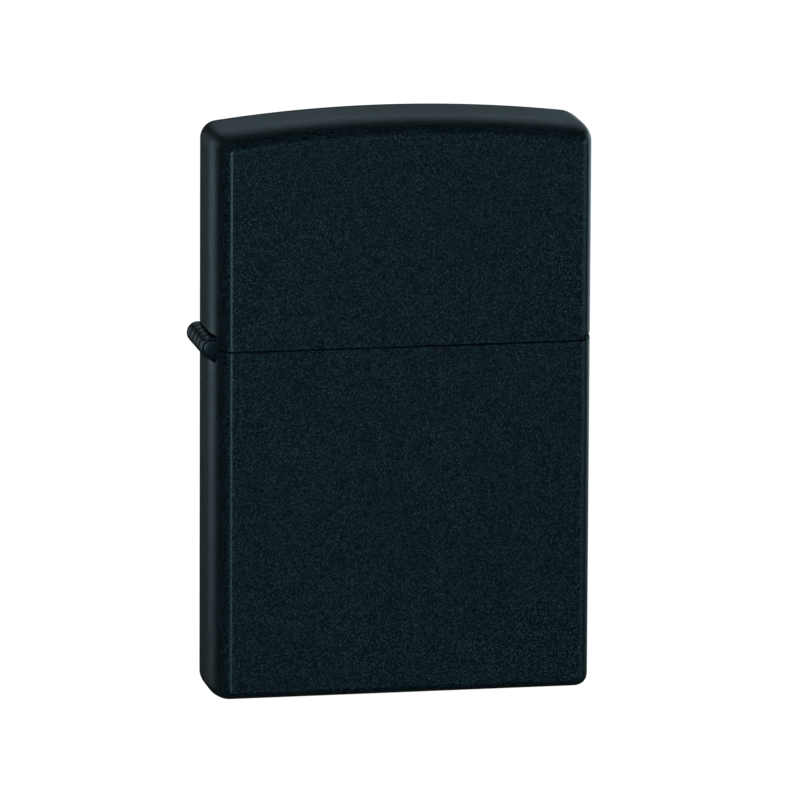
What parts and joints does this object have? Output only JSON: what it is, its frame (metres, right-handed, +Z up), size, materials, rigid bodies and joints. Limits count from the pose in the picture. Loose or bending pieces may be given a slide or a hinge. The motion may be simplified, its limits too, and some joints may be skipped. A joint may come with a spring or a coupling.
{
  "type": "flip-top pocket lighter",
  "caption": "Closed flip-top windproof petrol lighter with a matte black speckled case and crowned lid on a barrel hinge, around a steel insert with chimney, striker wheel and wick.",
  "frame": {"origin": "centre of the flat underside of the case, on the surface it stands on", "axes": "+Z up; +X across the width, away from the hinge; -Y is the front face"},
  "size_m": [0.0386, 0.0126, 0.057],
  "materials": {
    "black_coat": "matte black powder coat with a fine pale speckle, over sheet brass",
    "hinge_coat": "satin black coat on the hinge",
    "insert_steel": "brushed stainless sheet",
    "rivet_steel": "plain rivet steel",
    "wheel_steel": "dark hardened steel with file teeth",
    "spring_steel": "spring steel, slightly blued",
    "brass": "plain turned brass",
    "flint": "dull grey flint alloy",
    "wick_cotton": "braided cotton",
    "copper": "fine copper wire",
    "cotton": "loose cotton wadding",
    "felt": "pressed wool felt"
  },
  "bodies": {
    "case": {"case_body": "black_coat", "case_hinge_leaf": "hinge_coat", "hinge_pin": "hinge_coat"},
    "lid": {"case_lid": "black_coat", "lid_hinge_leaf": "hinge_coat"},
    "insert": {"insert_shell": "insert_steel", "chimney": "insert_steel", "wheel_axle": "rivet_steel", "cam_rivet": "rivet_steel", "cam_spring": "spring_steel", "spring_rivet": "rivet_steel", "flint_tube": "brass", "flint_spring": "spring_steel", "flint_screw": "brass", "wick": "wick_cotton", "wick_wire_front": "copper", "wick_wire_rear": "copper", "cotton_top_left": "cotton", "cotton_top_right": "cotton", "cotton_middle": "cotton", "cotton_low_left": "cotton", "cotton_low_right": "cotton", "felt_pad": "felt"},
    "wheel": {"striker_wheel": "wheel_steel"},
    "cam": {"lid_cam": "spring_steel"},
    "flint_feed": {"flint": "flint", "spring_tip": "brass"}
  },
  "joints": [
    {"name": "lid_hinge", "type": "hinge", "parent": "case", "child": "lid", "pos_m": [-0.0187, 0, 0.03485], "axis": [0, -1, 0], "range_deg": [0, 125]},
    {"name": "insert_slide", "type": "slide", "parent": "case", "child": "insert", "axis": [0, 0, 1], "range_m": [0, 0.0009]},
    {"name": "wheel_spin", "type": "hinge", "parent": "insert", "child": "wheel", "pos_m": [0.0104, 0, 0.04735], "axis": [0, 1, 0], "continuous": true},
    {"name": "cam_pivot", "type": "hinge", "parent": "insert", "child": "cam", "pos_m": [-0.01285, 0, 0.04125], "axis": [0, -1, 0], "range_deg": [0, 20]},
    {"name": "flint_slide", "type": "slide", "parent": "insert", "child": "flint_feed", "axis": [0, 0, -1], "range_m": [0, 0.0012], "stiffness_N_per_m": 250, "springref_m": -0.004, "deforming": ["flint_spring"]}
  ],
  "couplings": [
    {"joint": "cam_pivot", "follows": "lid_hinge", "ratio": 0.16}
  ]
}
